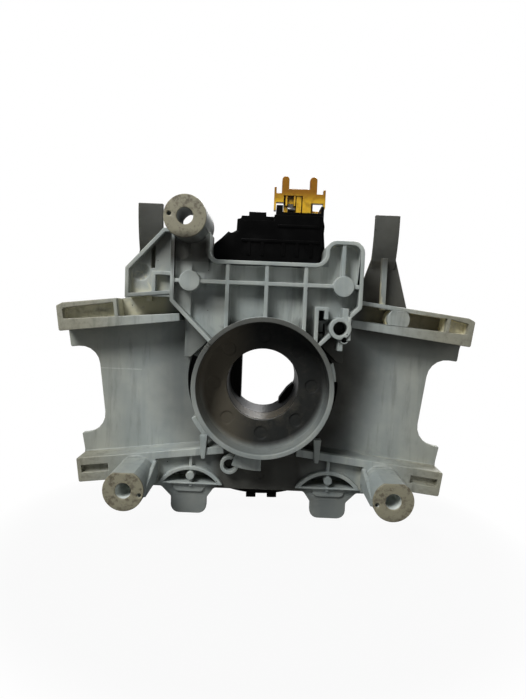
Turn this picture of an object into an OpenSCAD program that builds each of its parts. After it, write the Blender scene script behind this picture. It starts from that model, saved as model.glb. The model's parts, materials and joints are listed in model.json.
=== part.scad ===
// Steering clock spring on its combination switch body, seen from the column side.
// X is to the right as seen from the column, Y runs along the column towards the wheel, Z is up.
// The origin is on the column axis, at the rear rim of the collar.

/* [Column collar] */
// Bore of the collar that slips over the column jacket
collar_bore_d = 56; // [54:0.5:58]
// Wall of the collar
collar_wall = 2; // [1.6:0.1:2.6]
// Depth of the collar cup, from the rim to its floor
collar_depth = 14; // [11:0.5:15]
// Thickness of the collar's floor
collar_floor = 2.5; // [2:0.1:3]
// Bore for the steering shaft
shaft_bore_d = 32; // [29:0.5:33]
// Round ejector marks on the collar's floor
floor_mark_d = 5.8; // [4:0.2:7]

/* [Screw bosses] */
// Diameter of the three long screw bosses
boss_d = 17; // [15:0.5:18]
// Clearance hole for the column screws
boss_hole_d = 6.6; // [5.5:0.1:8]
// Length of the clearance hole, from the boss's rear face to the wider bore in front of it
boss_hole_l = 18; // [12:0.5:22]
// Wider bore from the front, which takes the column's screw head
boss_bore_d = 12.4; // [11:0.1:12.6]
// How far the bosses stand out behind the collar's rim
boss_reach = 8; // [4:0.5:12]
// Upper boss, distance left of the axis
upper_boss_x = 33.1; // [32:0.1:34]
// Upper boss, height above the axis
upper_boss_z = 68.6; // [67:0.1:71]
// Distance from the collar's rim to the front end of the upper boss
upper_boss_front_y = 24; // [20:0.5:29]
// Lower bosses, distance to each side of the axis
lower_boss_x = 55.3; // [53:0.1:58]
// Lower bosses, distance below the axis
lower_boss_z = 42.9; // [41:0.1:45]

/* [Body] */
// Distance from the collar's rim to the face that carries the reel
front_y = 30; // [29:0.5:33]
// Thickness of the front wall
wall_t = 2.5; // [2:0.1:3]
// Thickness of the stiffening ribs
rib_t = 1.7; // [1.3:0.1:2.2]

/* [Ribbed plate] */
// Half width of the ribbed plate
plate_x = 40.8; // [40:0.1:43]
// Height of the plate's top edge above the axis
plate_top_z = 53.4; // [52:0.1:54]
// Height of the lobe at the plate's upper right
lobe_top_z = 63.2; // [61:0.1:66]
// Distance from the collar's rim to the rear edges of the ribs
plate_rear_y = 6; // [5:0.5:8]
// Height of the ribs above the plate's floor
rib_h = 7; // [4:0.5:8]
// Thickness of the plate's floor
plate_t = 2.5; // [2:0.1:3]
// Spacing of the upright ribs
rib_pitch = 16.6; // [15:0.2:17.4]
// Height of the level rib above the axis
level_rib_z = 44.1; // [42:0.1:46]

/* [Switch sockets] */
// Droop of the two side sockets, in degrees
droop = 7; // [6:0.5:8]
// Reach of the upper rails from the axis, along their slope
rail_reach = 88; // [84:0.5:94]
// Distance from the collar's rim to the rear lips of the rails
rail_rear_y = 15; // [13:0.5:17]
// Underside of the upper rail, above the axis
rail_low = 31.1; // [30:0.1:32.5]
// Height of the upper rail
rail_h = 12.4; // [11:0.1:13]
// Height of the solid lip at the rail's inner end
rail_lip_in = 3.4; // [3:0.1:4.5]
// Height of the solid lip at the rail's tip
rail_lip_out = 5.2; // [3.5:0.1:5.6]
// Top face of the lower rail, below the axis
ledge_low = 26.5; // [25.5:0.1:28]
// Height of the lower rail
ledge_h = 11.1; // [10:0.1:12]
// Height of the ledge's lip between the bosses
ledge_lip = 3.4; // [2.4:0.1:3.6]
// Where the scooped edge of the socket wall stands
scoop_x = 75.3; // [73:0.1:78]
// Top of the scoop above the axis
scoop_top = 23.3; // [21:0.1:25]
// Bottom of the scoop below the axis
scoop_bottom = 17.6; // [16:0.1:20]
// Corner radius of the scoop
scoop_r = 9; // [6:0.5:10]

/* [Lower edge] */
// Distance from the rim to the rear face of the lower apron
apron_y = 19; // [18:0.5:21]
// Lower edge of the apron, below the axis
apron_low = 49.4; // [48.5:0.1:50.5]
// Bottom of the two tabs, below the axis
tab_low = 61.6; // [59:0.1:64]
// Width of a tab
tab_w = 16.4; // [14:0.2:18]
// Distance of the tabs from the axis
tab_x = 32; // [31:0.1:33]
// Distance of the arches and locating pins from the axis
arch_x = 31.2; // [30.5:0.1:32]
// Top of the arch above each tab, below the axis
arch_low = 38.8; // [38.4:0.1:39.4]
// Outer radius of each arch
arch_r = 17.2; // [16:0.1:17.6]
// Diameter of the pins that locate the reel
locating_pin_d = 3.8; // [3:0.1:4.2]

/* [Uprights] */
// Height of the left upright above the axis
left_upright_z = 78.4; // [76:0.2:82]
// Height of the right upright above the axis
right_upright_z = 77.2; // [76:0.2:82]
// Distance from the axis to the inner edges of the uprights' blades
blade_x = 47.5; // [46.8:0.1:48]
// Width of the uprights' blades
blade_w = 11; // [9:0.1:12]

/* [Cable reel] */
// Diameter of the reel's base flange
reel_d = 110; // [108:0.2:111]
// Thickness of the base flange
base_t = 2.2; // [1.8:0.1:2.6]
// Depth of the reel from its mounting face to its front
reel_depth = 20; // [19:0.5:24]
// Wall of the reel's outer cover
cover_wall = 2; // [1.6:0.1:2.4]
// Diameter of the rotor's cable drum
drum_d = 62; // [61:0.5:64]
// Wall of the rotor's sleeve
sleeve_wall = 4; // [3.4:0.1:4.4]
// Running clearance between the sleeve and the base's hub, on the radius
run_gap = 0.06; // [0.02:0.01:0.1]
// Thickness of the flat cable
tape_t = 0.35; // [0.2:0.05:0.4]
// Width of the flat cable
tape_w = 11; // [9:0.5:11]
// Spacing of the cable's turns
tape_pitch = 0.75; // [0.6:0.05:0.8]
// Turns of cable on each side of the bend
tape_turns = 3; // [2:1:3]
// Diameter of the pins that carry the rollers
roller_pin_d = 4; // [3:0.2:4.6]

/* [Rear connector] */
// Height of the connector housing's left block
left_block_z = 75.2; // [73:0.1:77]
// Height of the connector housing's right block
right_block_z = 80.5; // [79:0.1:82]
// Distance from the rim to the rear face of the connector housing
housing_y = 24.5; // [24.5:0.1:26]
// Distance from the rim to the front face of the connector housing
housing_front_y = 45; // [44:0.5:48]
// Height of the lock slide's prongs
prong_z = 95.2; // [93:0.1:99]
// Travel of the lock slide
lock_travel = 2.5; // [1.5:0.1:2.6]

/* [Hidden] */
$fn = 64;

// Colours, as the photograph shows them
nylon = "#9aa09b";
black = "#1c1c1e";
amber = "#b9781a";
steel = "#9b9a96";

// Small clearances shared by the fits
seat_gap = 0.2;
slack = 0.3;

// Angles of the pairs of snap teeth that hold the reel's cover on its base
tooth_angles = [-88.6, -29, -149, 5, 175];

// Levels along the column axis
collar_r = collar_bore_d / 2;
collar_out_r = collar_r + collar_wall;
cup_end_y = collar_depth + collar_floor;
wall_y = front_y - wall_t;
plate_y = plate_rear_y + rib_h;
box_end_y = housing_y - 0.5;
rail_floor_y = rail_rear_y + 10.5;

// Sockets, in the drooping frame
rail_top = rail_low + rail_h;
ledge_end = rail_reach - 1.4;
ledge_bottom = ledge_low + ledge_h;

// Pilot pillars that take the reel's screws from the front
tube_at = [31.6, 26.4];
tube_rear_y = plate_rear_y - 2.5;
left_pillar = [-55.9, 47.8];
right_pillar = [58.7, 31];
pilot_d = 4;
pilot_depth = 9;
pillar_r = 5;
pocket_y = 14;
pocket_floor_y = 18;
pin_at = [arch_x, -43];

// Reel levels
shaft_r = shaft_bore_d / 2;
sleeve_r = shaft_r + sleeve_wall;
hub_bore_r = sleeve_r + run_gap;
hub_r = hub_bore_r + 2.4;
body_bore_r = hub_r + 2;
flange_r = reel_d / 2;
cover_r = flange_r - 1.3;
chamber_r = cover_r - cover_wall;
chamber_y = front_y + base_t;
reel_front_y = front_y + reel_depth;
lip_t = 1.8;
lip_r = cover_r - 5;
disc_front_y = reel_front_y - 0.4;
disc_y = reel_front_y - 4;
drum_r = drum_d / 2;
drum_wall = 1.8;
sleeve_rear_y = front_y - 4;
cam_nose_r = shaft_r + 1.5;
cam_nose = 6;
cam_rear_y = cup_end_y + 0.8;
cam_r = body_bore_r - 1.5;
sheet_t = 0.25;

// Cable and rollers: the bend lies between the outer and the inner coil
tape_y = chamber_y + 2.1;
outer_coil_r = chamber_r - tape_t / 2 - 0.25 - tape_turns * tape_pitch;
inner_coil_r = drum_r + tape_t / 2 + 0.25 + tape_turns * tape_pitch;
bend_centre_r = (outer_coil_r + inner_coil_r) / 2;
bend_r = (outer_coil_r - inner_coil_r) / 2;
roller_r = bend_r - tape_t / 2 - 0.4;
roller_pin_r = roller_pin_d / 2;
roller_count = 4;
carrier_y = chamber_y + 0.5;
carrier_t = 1.2;

// Rotor's two wheel-side sockets: left, right, bottom and top
top_socket = [-12, 12, 24.5, 39.5];
low_socket = [-9, 9, -37.5, -25.5];

// Rear connector: the right socket takes the lock slide
post_left = [3.1, 6];
post_right = [23.2, 24.6];
left_socket = [-11.5, 1.2];
socket_y = [housing_y + 4.5, housing_front_y - 3];
socket_floor_z = 62;
lid_t = 1.8;
slide_y = socket_y[0] + 3.6;
lead_top_z = flange_r + 5.5;

// The connector's heights are given for a flange of this radius, and follow the real flange
drawn_flange_r = 55;
reel_lift = flange_r - drawn_flange_r;

function unit(v) = v / norm(v);
function flat(p) = [p[0], p[1]];

// Points of one corner, rounded to radius r
function corner(before, at, after, r, steps) =
    r == 0 ? [at] :
    let (
        a = unit(before - at),
        b = unit(after - at),
        half = acos(a * b) / 2,
        centre = at + unit(a + b) * r / sin(half),
        from = at + a * r / tan(half) - centre,
        to = at + b * r / tan(half) - centre,
        start = atan2(from[1], from[0]),
        sweep = atan2(from[0] * to[1] - from[1] * to[0], from * to)
    )
    [for (i = [0:steps]) centre + r * [cos(start + sweep * i / steps), sin(start + sweep * i / steps)]];

// An outline whose points are [x, z] or [x, z, corner radius]
function rounded(points, steps = 5) =
    let (n = len(points))
    [for (i = [0:n - 1])
        each corner(flat(points[(i + n - 1) % n]), flat(points[i]), flat(points[(i + 1) % n]),
            len(points[i]) > 2 ? points[i][2] : 0, steps)];

// A flat outline in X and Z, made solid from y0 to y1
module slab(y0, y1) {
    translate([0, y1, 0]) rotate([90, 0, 0]) linear_extrude(y1 - y0) children();
}

// A round bar along Y
module rod(r, y0, y1, at = [0, 0]) {
    translate([at[0], y1, at[1]]) rotate([90, 0, 0]) cylinder(r = r, h = y1 - y0);
}

// A bar with a square section from corner to corner, in X and Z
module bar(x0, x1, z0, z1, y0, y1) {
    translate([x0, y0, z0]) cube([x1 - x0, y1 - y0, z1 - z0]);
}

// A flat outline in Y and Z, made solid from x0 to x1
module bar_along_x(x0, x1) {
    translate([x0, 0, 0]) rotate([90, 0, 90]) linear_extrude(x1 - x0) children();
}

// The rim of an outline, t wide
module rim(t) {
    difference() {
        children();
        offset(delta = -t) children();
    }
}

// A profile of radius and Y, turned about the column axis
module turned(angle = 360) {
    rotate([-90, 0, 0]) rotate_extrude(angle = angle) children();
}

module both_sides() {
    children();
    mirror([1, 0, 0]) children();
}

module drooping() {
    rotate([0, droop, 0]) children();
}

module on_reel() {
    translate([0, 0, reel_lift]) children();
}

// Front wall of one socket, with its scooped outer edge, in the drooping frame
module socket_wall_outline() {
    polygon(rounded([
        [34, rail_top], [rail_reach - 3, rail_top, 0.8], [rail_reach, rail_top - 1.1, 0.8],
        [rail_reach, scoop_top, 0.8], [scoop_x, scoop_top, scoop_r],
        [scoop_x, -scoop_bottom, scoop_r], [ledge_end + 0.6, -scoop_bottom, 0.8],
        [ledge_end, -ledge_low - 0.5], [ledge_end, -ledge_bottom, 0.8],
        [50, -ledge_bottom], [50, -ledge_low - ledge_lip], [20, -ledge_low - ledge_lip],
        [20, 20]
    ]));
}

// Upper rail: a channel open to the rear, with a solid lip along its lower side
module upper_rail(web_x, inner_roof) {
    end_wall = 2.6;
    inner_x = 34;
    out_x = rail_reach - end_wall;
    lip_in = rail_low + rail_lip_in;
    lip_out = rail_low + rail_lip_out;
    lip_rise = (lip_out - lip_in) / (out_x - inner_x);
    roof = rail_top - rib_t;
    difference() {
        slab(rail_rear_y, wall_y + 0.5)
            polygon(rounded([
                [inner_x, rail_low], [rail_reach, rail_low, 0.8],
                [rail_reach, rail_top - 1.1, 0.8], [rail_reach - 3, rail_top, 0.8],
                [inner_x, rail_top]
            ]));
        slab(rail_rear_y - 1, rail_floor_y)
            polygon([
                [inner_x - 1, lip_in - lip_rise], [web_x, lip_in + lip_rise * (web_x - inner_x)],
                [web_x, inner_roof], [inner_x - 1, inner_roof]
            ]);
        slab(rail_rear_y - 1, rail_floor_y - 5)
            polygon(rounded([
                [web_x + rib_t, lip_in + lip_rise * (web_x + rib_t - inner_x)],
                [out_x, lip_out, 0.6], [out_x, roof - 0.8, 0.8], [web_x + rib_t, roof]
            ]));
    }
}

// Lower rail: a solid bar with a locating slot outside the boss, a thin ledge inside it
module lower_rail() {
    slot_top = -ledge_low - 3.6;
    slot_x = [ledge_end - 14, ledge_end - 1.8];
    bar_x = 51;
    difference() {
        slab(rail_rear_y, wall_y + 0.5)
            polygon(rounded([
                [20, -ledge_low], [ledge_end, -ledge_low, 0.8], [ledge_end, -ledge_bottom, 0.8],
                [bar_x, -ledge_bottom], [bar_x, -ledge_low - ledge_lip],
                [20, -ledge_low - ledge_lip]
            ]));
        bar(slot_x[0], slot_x[1], slot_top - 3.3, slot_top, rail_rear_y - 1, rail_rear_y + 3);
        // Core pocket from the front
        bar(bar_x + 14, ledge_end - 2, -ledge_bottom + 2, -ledge_low - 2, rail_rear_y + 5,
            front_y + 1);
    }
}

// A screw boss with its small gate mark, before its hole is drilled
module boss(x, z, mark, end_y = front_y, flat_top = 9) {
    difference() {
        rod(boss_d / 2, -boss_reach, end_y, [x, z]);
        rod(0.9, -boss_reach - 1, -boss_reach + 3, [x + mark[0], z + mark[1]]);
        bar(x - 10, x + 10, z + flat_top, z + 10, -boss_reach - 1, rail_rear_y - 0.5);
    }
}

// Wing that ties a lower boss to the apron and the ledge
module boss_web() {
    x1 = lower_boss_x - boss_d / 2 + 1.2;
    top_z = -ledge_low - 9.5;
    bar_along_x(x1 - rib_t, x1)
        polygon([
            [2 - boss_reach, -lower_boss_z - 3], [2 - boss_reach, -lower_boss_z + 0.4],
            [rail_rear_y + 3, top_z], [apron_y + 1, top_z + 2.5],
            [apron_y + 1, -lower_boss_z - 3]
        ]);
}

// Outline of the ribbed plate; its lower edge runs through the collar
module plate_outline() {
    column_x = upper_boss_x - 8.7;
    slope_z = 35.2;
    fall = slope_z - 17;
    polygon(rounded([
        [-plate_x, upper_boss_z - 4], [-plate_x, slope_z, 1], [-plate_x + fall, slope_z - fall],
        [plate_x - fall, slope_z - fall], [plate_x, slope_z, 1], [plate_x, lobe_top_z, 5],
        [24.4, lobe_top_z, 4.6], [24.4, plate_top_z, 4], [-column_x, plate_top_z, 4],
        [-column_x, upper_boss_z - 4]
    ]));
}

// Floor, rim and ribs of the plate; the rim is cut back where the housing passes
module ribbed_plate() {
    rib_rear = plate_rear_y + 0.4;
    column_y = plate_rear_y + 1.2;
    step_x = -32.3;
    slab(plate_y, plate_y + plate_t) plate_outline();
    difference() {
        slab(plate_rear_y, wall_y + 0.5) rim(rib_t) plate_outline();
        bar(-28, 27, plate_top_z - 3, upper_boss_z, box_end_y, front_y);
    }
    for (i = [-1:1])
        bar(i * rib_pitch - rib_t / 2, i * rib_pitch + rib_t / 2, 20, plate_top_z - 1,
            rib_rear, plate_y + 1);
    bar(-plate_x + 1, plate_x - 1, level_rib_z - rib_t / 2, level_rib_z + rib_t / 2,
        rib_rear, plate_y + 1);
    bar(32.2 - rib_t / 2, 32.2 + rib_t / 2, level_rib_z, lobe_top_z - 1, rib_rear, plate_y + 1);
    for (x = [-32.6, 32.6])
        rod(4.4, plate_rear_y - 0.4, plate_y + 1, [x, level_rib_z]);
    // Column under the upper boss, with two hollow flutes that run out into the floor
    difference() {
        bar_along_x(-plate_x + 1, -25.2)
            polygon([
                [column_y, upper_boss_z - 3], [column_y, 57], [plate_y + 0.2, 48],
                [plate_y + 1, 48], [plate_y + 1, upper_boss_z - 3]
            ]);
        for (x = [step_x - 3.9, step_x + 3.6])
            translate([x, column_y - 2.6, 46]) cylinder(r = 5, h = upper_boss_z - 42);
    }
    // Raised floor beside the step
    slab(plate_rear_y + 4.6, plate_y + 1)
        polygon([[-plate_x + 1, 56], [step_x, 56], [step_x, 27.8], [-plate_x + 1, 34.8]]);
}

// Slot with two latch tongues, beside the collar
module latch_slot_frame() {
    slab(plate_rear_y - 0.5, plate_y + 1)
        polygon([
            [20.9, 18], [22.6, 18], [22.6, 33.7], [24.9, 33.7], [24.9, 30], [26.7, 30],
            [26.7, 35.3], [20.9, 35.3]
        ]);
}

module latch_slot_tongues() {
    bar(23.5, 25.4, 24.4, 29.3, plate_rear_y + 1.5, plate_y + plate_t);
    bar(23.3, 25.4, 19, 23.7, plate_rear_y + 1.5, plate_y + plate_t);
    bar(22, 27, 28, 29.3, plate_y, plate_y + plate_t);
    bar(22, 27, 19, 21, plate_y, plate_y + plate_t);
}

// Tube boss with its small ring and locating lugs, at the plate's lower right corner
module tube_boss() {
    rod(4.65, tube_rear_y, wall_y + 0.5, tube_at);
    rod(1.9, tube_rear_y + 1, wall_y + 0.5, tube_at + [2, -4.6]);
    bar(tube_at[0] + 0.9, tube_at[0] + 3.5, tube_at[1] + 3, tube_at[1] + 8.6, tube_rear_y + 1.5,
        plate_y + 1);
    bar(tube_at[0] + 3.4, tube_at[0] + 4.7, tube_at[1] - 5, tube_at[1] + 5, tube_rear_y + 0.8,
        plate_y + 1);
    bar(tube_at[0] - 0.5, tube_at[0] + 1.7, tube_at[1] - 9.6, tube_at[1] - 3, tube_rear_y + 2,
        plate_y + plate_t);
}

// Pocket beside the upper boss, on top of the left rail
module left_pocket() {
    pocket = [[-62, 36.2], [-62, 49.3, 1], [-45.6, 66.9], [-36, 66.9], [-36, 39]];
    dimple_r = 5;
    dimple_h = 2;
    slab(pocket_y, wall_y + 0.5) rim(rib_t) polygon(rounded(pocket));
    slab(pocket_y + 0.5, pocket_floor_y + 1) rim(rib_t)
        polygon([[-50.4, 37], [-40, 37], [-40, 48.2], [-50.4, 48.2]]);
    difference() {
        union() {
            slab(pocket_floor_y, pocket_floor_y + 2.5) polygon(rounded(pocket));
            rod(pillar_r, pocket_floor_y + 0.5, front_y, left_pillar);
        }
        translate([left_pillar[0], pocket_floor_y, left_pillar[1]])
            rotate([-90, 0, 0]) rotate_extrude()
                intersection() {
                    translate([0, dimple_h - dimple_r]) circle(dimple_r);
                    translate([0, -0.5]) square([dimple_r, dimple_h + 1]);
                }
        bar(-51.6, -49.7, 49.6, 59.6, pocket_floor_y - 0.5, pocket_floor_y + 4);
    }
}

// Upright: a flared foot with a middle rib, and a blade that bows back towards the column
module upright(top_z) {
    mid_x = blade_x + blade_w / 2;
    neck_z = 59.2;
    root_z = 53;
    bow_r = 52;
    bow = asin((top_z - root_z) / bow_r);
    blade_t = 2.2;
    slab(wall_y, front_y)
        polygon(rounded([
            [40, 32], [65.4, 35.5], [blade_x + blade_w + 0.2, neck_z, 1.5],
            [blade_x + 0.7, neck_z, 1.5], [43.2, 44]
        ]));
    intersection() {
        translate([blade_x, wall_y + 0.2 + bow_r * cos(bow), top_z])
            rotate([0, 90, 0]) rotate([0, 0, -90]) rotate_extrude(angle = bow)
                translate([bow_r - blade_t, 0]) square([blade_t, blade_w]);
        slab(10, front_y + 1)
            polygon(rounded([
                [blade_x - 1, root_z, 4], [blade_x + blade_w + 1, root_z, 4],
                [blade_x + blade_w + 1, top_z + 1], [blade_x - 1, top_z + 1]
            ]));
    }
    bar(mid_x - 1.2, mid_x + 1.2, 35, neck_z - 0.8, wall_y - 5, front_y);
}

// Outline of the apron along the lower edge, with its two tabs
module apron_outline() {
    half = tab_w / 2;
    foot_z = -tab_low + 7.6;
    polygon(rounded([
        [-50, -34.4], [-50, -apron_low, 1], [-tab_x - half - 4.6, -apron_low, 2],
        [-tab_x - half, foot_z, 1.5], [-tab_x - half, -tab_low, 3.8],
        [-tab_x + half, -tab_low, 3.8], [-tab_x + half, foot_z, 1.5],
        [-tab_x + half + 3.2, -apron_low, 2], [tab_x - half - 3.2, -apron_low, 2],
        [tab_x - half, foot_z, 1.5], [tab_x - half, -tab_low, 3.8], [tab_x + half, -tab_low, 3.8],
        [tab_x + half, foot_z, 1.5], [tab_x + half + 4.6, -apron_low, 2], [50, -apron_low, 1],
        [50, -34.4], [26, -31.5], [-26, -31.5]
    ]));
}

// The part of an arch's round that lies above its sill
module arch_outline(r, sill_z) {
    intersection() {
        translate([arch_x, -arch_low - arch_r]) circle(r);
        polygon([[arch_x - 20, sill_z], [arch_x + 20, sill_z], [arch_x + 20, -30],
            [arch_x - 20, -30]]);
    }
}

// Apron, arches with the reel's locating pins, tapered pegs and the flange along the lower edge
module apron() {
    sill_z = -46.3;
    arch_rear_y = apron_y - 3;
    flange = rib_t;
    difference() {
        union() {
            slab(apron_y, apron_y + 2.5) apron_outline();
            both_sides() {
                slab(arch_rear_y, front_y) arch_outline(arch_r, sill_z - 0.8);
                slab(apron_y - 1, apron_y + 1)
                    polygon(rounded([
                        [tab_x - 8, sill_z], [tab_x - 6.5, -51.2, 2], [tab_x + 6.5, -51.2, 2],
                        [tab_x + 8, sill_z]
                    ]));
            }
        }
        both_sides() slab(arch_rear_y - 1, wall_y) arch_outline(arch_r - rib_t, sill_z);
        rod(1.6, apron_y - 1, apron_y + 0.4, [0.6, -42.7]);
    }
    both_sides() {
        bar(arch_x - 0.7, arch_x + 0.7, -apron_low + 1, -ledge_low - ledge_lip - 2.8,
            arch_rear_y + 0.6, wall_y + 0.5);
        rod(locating_pin_d / 2, arch_rear_y - 0.8, chamber_y - 0.5, pin_at);
        slab(apron_y - 5, apron_y + 1)
            polygon([[23.7, -24], [27.2, -24], [26.3, -34.6], [24.6, -34.6]]);
        bar(44, 52, -apron_low, -apron_low + flange, apron_y, wall_y + 0.5);
    }
    bar(-21, 21, -apron_low, -apron_low + flange, apron_y, front_y);
}

// Hook and curved clip under the collar
module lower_clip() {
    hook_r = 4.2;
    slab(apron_y - 5, apron_y + 1)
        translate([-13.5, -37])
            difference() {
                circle(hook_r);
                circle(hook_r - 1.6);
                translate([1, -1]) square([hook_r, 4]);
            }
    rotate([0, 89, 0]) turned(20.2)
        translate([collar_out_r - 0.6, 8.5]) square([8.1, 2.6]);
    rotate([0, 89, 0]) turned(20.2)
        translate([collar_out_r - 0.6, 8.5]) square([2, 12]);
}

// Guide block between the collar and the upper rail
module guide_block() {
    slab(wall_y - 7, wall_y + 0.5)
        polygon([[24, 20], [36, 30], [36, 10.4], [33.2, 10.4], [27, 16.5]]);
}

// Flat ring from radius inner to outer, between two angles about the column axis
module ring_sector(inner, outer, from, to) {
    intersection() {
        difference() {
            circle(outer);
            circle(inner);
        }
        polygon([[0, 0], for (a = [from, (from + to) / 2, to]) 2 * outer * [cos(a), sin(a)]]);
    }
}

// Short curved ribs that stand beside the collar
module collar_ribs() {
    left_angles = [208, 227];
    left_r = collar_out_r + 3.4;
    right_angles = [4, 19];
    right_r = collar_out_r + 1.2;
    slab(plate_y + 3, wall_y + 0.5) {
        ring_sector(left_r, left_r + 2.2, left_angles[0], left_angles[1]);
        ring_sector(right_r, right_r + 1.6, right_angles[0], right_angles[1]);
    }
}

// Curved slot in the front wall, between two angles about the column axis
module curved_slot(angles) {
    slot_r = collar_out_r + 1.5;
    slot_w = 3.5;
    slab(wall_y - 1, front_y + 1)
        ring_sector(slot_r, slot_r + slot_w, angles[0], angles[1]);
}

module front_wall() {
    left_slot = [162, 205];
    right_slot = [-34, 1];
    difference() {
        slab(wall_y, front_y) {
            both_sides() rotate(-droop) socket_wall_outline();
            circle(collar_out_r + 6);
        }
        curved_slot(left_slot);
        curved_slot(right_slot);
    }
}

module switch_body() {
    left_web_x = 61;
    right_web_x = 75.6;
    color(nylon)
    difference() {
        union() {
            front_wall();
            rod(collar_out_r, 0, wall_y + 0.5);
            ribbed_plate();
            both_sides() {
                drooping() lower_rail();
                boss(lower_boss_x, -lower_boss_z, [-6.6, -1.6], flat_top = 7.4);
                boss_web();
                guide_block();
            }
            collar_ribs();
            drooping() upper_rail(right_web_x, rail_top - rib_t);
            mirror([1, 0, 0]) drooping() upper_rail(left_web_x, rail_top + 1);
            boss(-upper_boss_x, upper_boss_z, [-6.3, 0.8], upper_boss_front_y);
            left_pocket();
            upright(right_upright_z);
            mirror([1, 0, 0]) upright(left_upright_z);
            rod(pillar_r, rail_rear_y, front_y, right_pillar);
            latch_slot_frame();
            tube_boss();
            apron();
            lower_clip();
        }
        // Collar cup, shaft hole, cam space and seat of the reel's hub
        rod(collar_r, -1, collar_depth - 2);
        turned() polygon([
            [0, collar_depth - 2.5], [collar_r, collar_depth - 2.5], [collar_r, collar_depth - 2],
            [collar_r - 2, collar_depth], [0, collar_depth]
        ]);
        rod(shaft_r, collar_depth - 1, cup_end_y + 1);
        rod(collar_r - 0.5, cup_end_y, wall_y);
        rod(body_bore_r, wall_y - 1, front_y + 1);
        for (i = [0:7])
            rotate([0, 45 * i, 0])
                rod(floor_mark_d / 2, collar_depth - 1, collar_depth + 0.4, [21.7, 0]);
        rotate([0, -143, 0]) bar(collar_r - 1, collar_out_r + 1, -0.7, 0.7, -1, 2);
        // Screw holes, with a wider bore from the front
        for (at = [[-upper_boss_x, upper_boss_z], [-lower_boss_x, -lower_boss_z],
            [lower_boss_x, -lower_boss_z]]) {
            rod(boss_hole_d / 2, -boss_reach - 1, boss_hole_l - boss_reach + 1, at);
            rod(boss_bore_d / 2, boss_hole_l - boss_reach, front_y + 1, at);
        }
        // Pilot holes for the reel's screws
        for (at = [left_pillar, right_pillar])
            rod(pilot_d / 2, front_y - pilot_depth, front_y + 1, at);
        // Latch slot and tube bores
        difference() {
            bar(22.6, 26.2, 20, 33.7, plate_y - 0.5, plate_y + plate_t + 1);
            rod(collar_out_r, 0, cup_end_y + 1);
            latch_slot_tongues();
        }
        rod(2.9, tube_rear_y - 1, plate_y + 3, tube_at);
        rod(1, tube_rear_y, plate_y, tube_at + [2, -4.6]);
    }
}

// Outline of the connector housing as seen from the column, with its stepped left shoulder
module housing_outline() {
    polygon([
        [-27, 50], [-26.7, 61.4], [-24.8, 61.8], [-21.5, 64.6], [-18.2, 67.9], [-16.8, 67.2],
        [-14.6, 68.5], [-14.4, 73.6], [-12.8, 74], [-12.4, left_block_z], [-9.2, left_block_z],
        [-9.2, left_block_z + 1.8], [-1.4, left_block_z + 1.8], [-1.4, left_block_z],
        [post_left[0], left_block_z], [post_left[0], right_block_z],
        [post_right[1], right_block_z], [post_right[1], 74.4], [25.2, 71.6], [25, 68.4],
        [26, 57.9], [26, 50]
    ]);
}

module ear(at) {
    hull() {
        translate(at) circle(r = 5.6, $fn = 40);
        translate(at * (flange_r - 8) / norm(at)) circle(r = 9, $fn = 40);
    }
}

// Reel base: flange, bearing hub, fixing ears and the rear connector housing, in one moulding
module reel_base() {
    color(black)
    difference() {
        union() {
            slab(front_y, chamber_y) {
                circle(flange_r);
                ear(left_pillar);
                ear(right_pillar);
            }
            // Barbs that the cover's teeth snap over
            for (a = tooth_angles, side = [-5, 5])
                rotate([0, -a, 0])
                    bar(flange_r - 1, flange_r + 1.2, side - 1.1, side + 1.1, front_y + 0.6,
                        chamber_y - 0.3);
            rod(hub_r, sleeve_rear_y + slack, chamber_y + 6);
            rod(body_bore_r - seat_gap, wall_y - 0.5, front_y + 1);
            difference() {
                on_reel() slab(housing_y, housing_front_y) housing_outline();
                rod(flange_r - 0.8, chamber_y, reel_front_y + 1);
                bar(-30, 30, 20, plate_top_z + 0.6, 0, front_y);
            }
        }
        rod(hub_bore_r, 0, reel_front_y);
        for (at = [left_pillar, right_pillar])
            rod(pilot_d / 2 + 0.2, front_y - 1, chamber_y + 1, at);
        both_sides() rod(locating_pin_d / 2 + 0.1, front_y - 1, chamber_y - 0.2, pin_at);
        on_reel() {
            // Sockets for the harness plugs, open at the top
            bar(left_socket[0], left_socket[1], socket_floor_z, 90, socket_y[0], socket_y[1]);
            bar(post_left[1], post_right[0], socket_floor_z, 90, socket_y[0], socket_y[1]);
            // The right socket's rear and front walls stop lower than its two posts
            bar(post_left[1], post_right[0], 77.4, 90, housing_y - 1, housing_front_y + 1);
        }
        // Lead block's channel
        bar(-8 - slack, slack, flange_r - 5, lead_top_z + slack, chamber_y, chamber_y + 13.8);
    }
}

// Rear lid over the housing's terminals
module terminal_cover() {
    foot = plate_top_z + 0.8;
    left_top = left_block_z - 2.2;
    right_top = right_block_z - 4.7;
    lid_x = 24;
    lid_rear = housing_y - lid_t;
    color(black) {
        slab(lid_rear, housing_y)
            polygon([
                [-lid_x, foot + 3.3], [-lid_x, foot + 7.2], [3 - lid_x, foot + 9.8],
                [-17.8, foot + 12.7], [-13.6, left_top - 5.2], [-13.4, left_top],
                [2.3, left_top], [2.3, right_top], [lid_x - 0.2, right_top],
                [lid_x, foot + 3.3], [lid_x - 1.4, foot + 0.8], [lid_x - 4, foot],
                [4 - lid_x, foot], [1.4 - lid_x, foot + 0.8]
            ]);
        bar(-12, lid_x - 1.2, foot + 9.3, foot + 10.4, lid_rear - 0.8, lid_rear + 0.2);
        bar(4.2, lid_x - 1.6, left_top - 2.6, left_top - 1.6, lid_rear - 0.8, lid_rear + 0.2);
        for (x = [-9.5, -3.5, 6, 12.2, 18.4])
            bar(x, x + 1.4, foot + 3.3, foot + 9.4, lid_rear - 0.6, lid_rear + 0.2);
    }
}

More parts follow.
